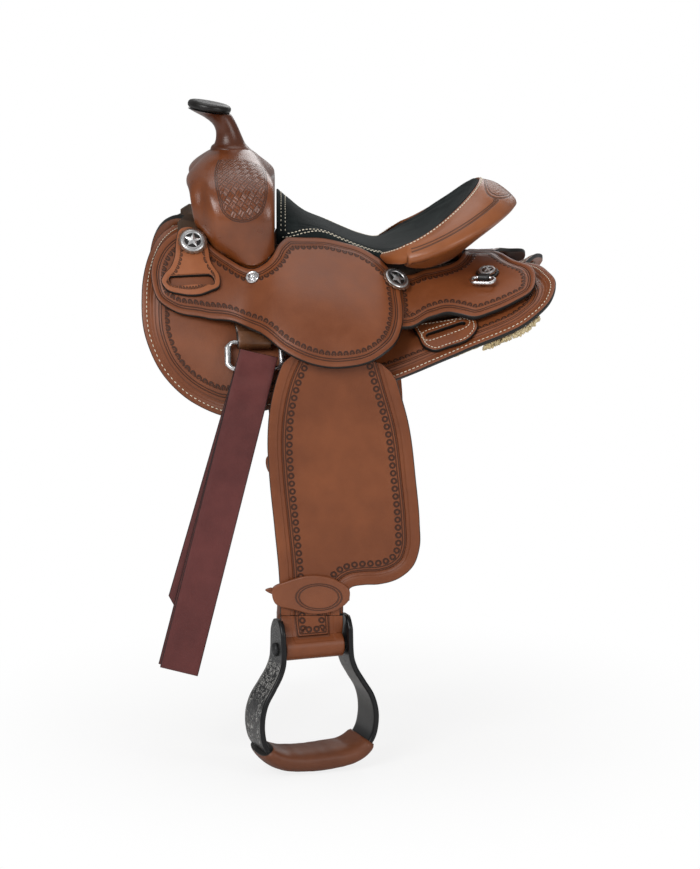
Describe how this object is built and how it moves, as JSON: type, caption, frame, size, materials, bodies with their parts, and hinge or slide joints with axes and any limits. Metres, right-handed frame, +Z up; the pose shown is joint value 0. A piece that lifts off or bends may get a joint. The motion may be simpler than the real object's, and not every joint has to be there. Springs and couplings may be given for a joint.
{
  "type": "pony saddle",
  "caption": "Western pony saddle in brown tooled leather with black suede seat, sheepskin lining, hanging fenders and stirrups, dees and a near latigo",
  "frame": {"origin": "on the centre line, midway along the skirts, in the channel over the pony's spine", "axes": "+X towards the cantle, +Y towards the pony's off (right) side, +Z up"},
  "size_m": [0.44, 0.4383, 0.7009],
  "materials": {
    "skirting": "tooled saddle skirting leather, brown, semi-gloss",
    "swell_leather": "smooth brown leather, glossy",
    "latigo": "burgundy latigo leather, waxed",
    "suede": "black suede, matte",
    "black_leather": "black leather, semi-gloss",
    "fleece": "sheepskin pile, yellowish",
    "silver": "polished plated metal",
    "aluminium": "black cast aluminium with bright engraving",
    "wood": "bare wood of the tree",
    "nylon": "pale nylon sleeve"
  },
  "bodies": {
    "tree": {"cantle_core": "wood", "cantle_cover": "swell_leather", "fleece_near": "fleece", "fleece_off": "fleece", "fork_core": "wood", "fork_cover": "swell_leather", "front_concho_near": "silver", "front_concho_off": "silver", "ground_seat": "wood", "horn_cap": "black_leather", "horn_core": "silver", "horn_wrap": "swell_leather", "latigo_keeper_near": "skirting", "latigo_keeper_off": "skirting", "rear_concho_near": "silver", "rear_concho_off": "silver", "rear_jockey_near": "skirting", "rear_jockey_off": "skirting", "rear_rigging_plate_near": "skirting", "rear_rigging_plate_off": "skirting", "rear_tie_near": "black_leather", "rear_tie_off": "black_leather", "rigging_strap_near": "swell_leather", "rigging_strap_off": "swell_leather", "seat_concho_near": "silver", "seat_concho_off": "silver", "seat_jockey_near": "skirting", "seat_jockey_off": "skirting", "seat_pad": "suede", "skirt_near": "skirting", "skirt_off": "skirting", "swell_screw_near": "silver", "swell_screw_off": "silver", "tree_bar_near": "wood", "tree_bar_off": "wood"},
    "leather_near": {"stirrup_leather_near": "skirting"},
    "leather_off": {"stirrup_leather_off": "skirting"},
    "fender_near": {"fender_near": "skirting", "leather_tail_near": "skirting", "leather_buckle_near": "silver", "hobble_strap_near": "skirting"},
    "fender_off": {"fender_off": "skirting", "leather_tail_off": "skirting", "leather_buckle_off": "silver", "hobble_strap_off": "skirting"},
    "turn_near": {"leather_loop_near": "skirting", "bolt_sleeve_near": "nylon"},
    "turn_off": {"leather_loop_off": "skirting", "bolt_sleeve_off": "nylon"},
    "stirrup_near": {"stirrup_near": "aluminium", "tread_wrap_near": "skirting", "stirrup_bolt_near": "silver"},
    "stirrup_off": {"stirrup_off": "aluminium", "tread_wrap_off": "skirting", "stirrup_bolt_off": "silver"},
    "dee_near": {"rigging_dee_near": "silver"},
    "dee_off": {"rigging_dee_off": "silver"},
    "latigo": {"latigo": "latigo"},
    "loop_near": {"rear_loop_near": "silver"},
    "loop_off": {"rear_loop_off": "silver"}
  },
  "joints": [
    {"name": "leather_swing_near", "type": "hinge", "parent": "tree", "child": "leather_near", "pos_m": [-0.035, -0.132, 0.012], "axis": [0, 1, 0], "range_deg": [-10, 8]},
    {"name": "leather_swing_off", "type": "hinge", "parent": "tree", "child": "leather_off", "pos_m": [-0.043, 0.132, 0.012], "axis": [0, 1, 0], "range_deg": [-10, 8]},
    {"name": "fender_lift_near", "type": "hinge", "parent": "leather_near", "child": "fender_near", "pos_m": [-0.035, -0.16425, -0.011], "axis": [-1, 0, 0], "range_deg": [0, 28]},
    {"name": "fender_lift_off", "type": "hinge", "parent": "leather_off", "child": "fender_off", "pos_m": [-0.043, 0.16425, -0.011], "axis": [1, 0, 0], "range_deg": [0, 28]},
    {"name": "leather_twist_near", "type": "hinge", "parent": "fender_near", "child": "turn_near", "pos_m": [-0.0435, -0.16185, -0.2945], "axis": [0, 0, 1], "range_deg": [-110, 70]},
    {"name": "leather_twist_off", "type": "hinge", "parent": "fender_off", "child": "turn_off", "pos_m": [-0.0515, 0.16185, -0.2183], "axis": [0, 0, 1], "range_deg": [0, 180]},
    {"name": "stirrup_swing_near", "type": "hinge", "parent": "turn_near", "child": "stirrup_near", "pos_m": [-0.0435, -0.16185, -0.3295], "axis": [0.9397, 0.342, 0], "range_deg": [-40, 40]},
    {"name": "stirrup_swing_off", "type": "hinge", "parent": "turn_off", "child": "stirrup_off", "pos_m": [-0.0515, 0.16185, -0.2533], "axis": [0, -1, 0], "range_deg": [-40, 40]},
    {"name": "dee_lift_near", "type": "hinge", "parent": "tree", "child": "dee_near", "pos_m": [-0.1035, -0.13321, -0.00558], "axis": [0.9952, 0.0974, 0], "range_deg": [-30, 0]},
    {"name": "dee_lift_off", "type": "hinge", "parent": "tree", "child": "dee_off", "pos_m": [-0.1035, 0.13321, -0.00558], "axis": [-0.9952, 0.0974, 0], "range_deg": [-35, 0]},
    {"name": "latigo_swing", "type": "hinge", "parent": "dee_near", "child": "latigo", "pos_m": [-0.10206, -0.14793, -0.03167], "axis": [0.9952, 0.0974, 0], "range_deg": [-40, 0]},
    {"name": "rear_loop_lift_near", "type": "hinge", "parent": "tree", "child": "loop_near", "pos_m": [0.14142, -0.08877, 0.05627], "axis": [-0.9641, 0.2655, 0], "range_deg": [0, 90]},
    {"name": "rear_loop_lift_off", "type": "hinge", "parent": "tree", "child": "loop_off", "pos_m": [0.14142, 0.08877, 0.05627], "axis": [0.9641, 0.2655, 0], "range_deg": [0, 90]}
  ]
}
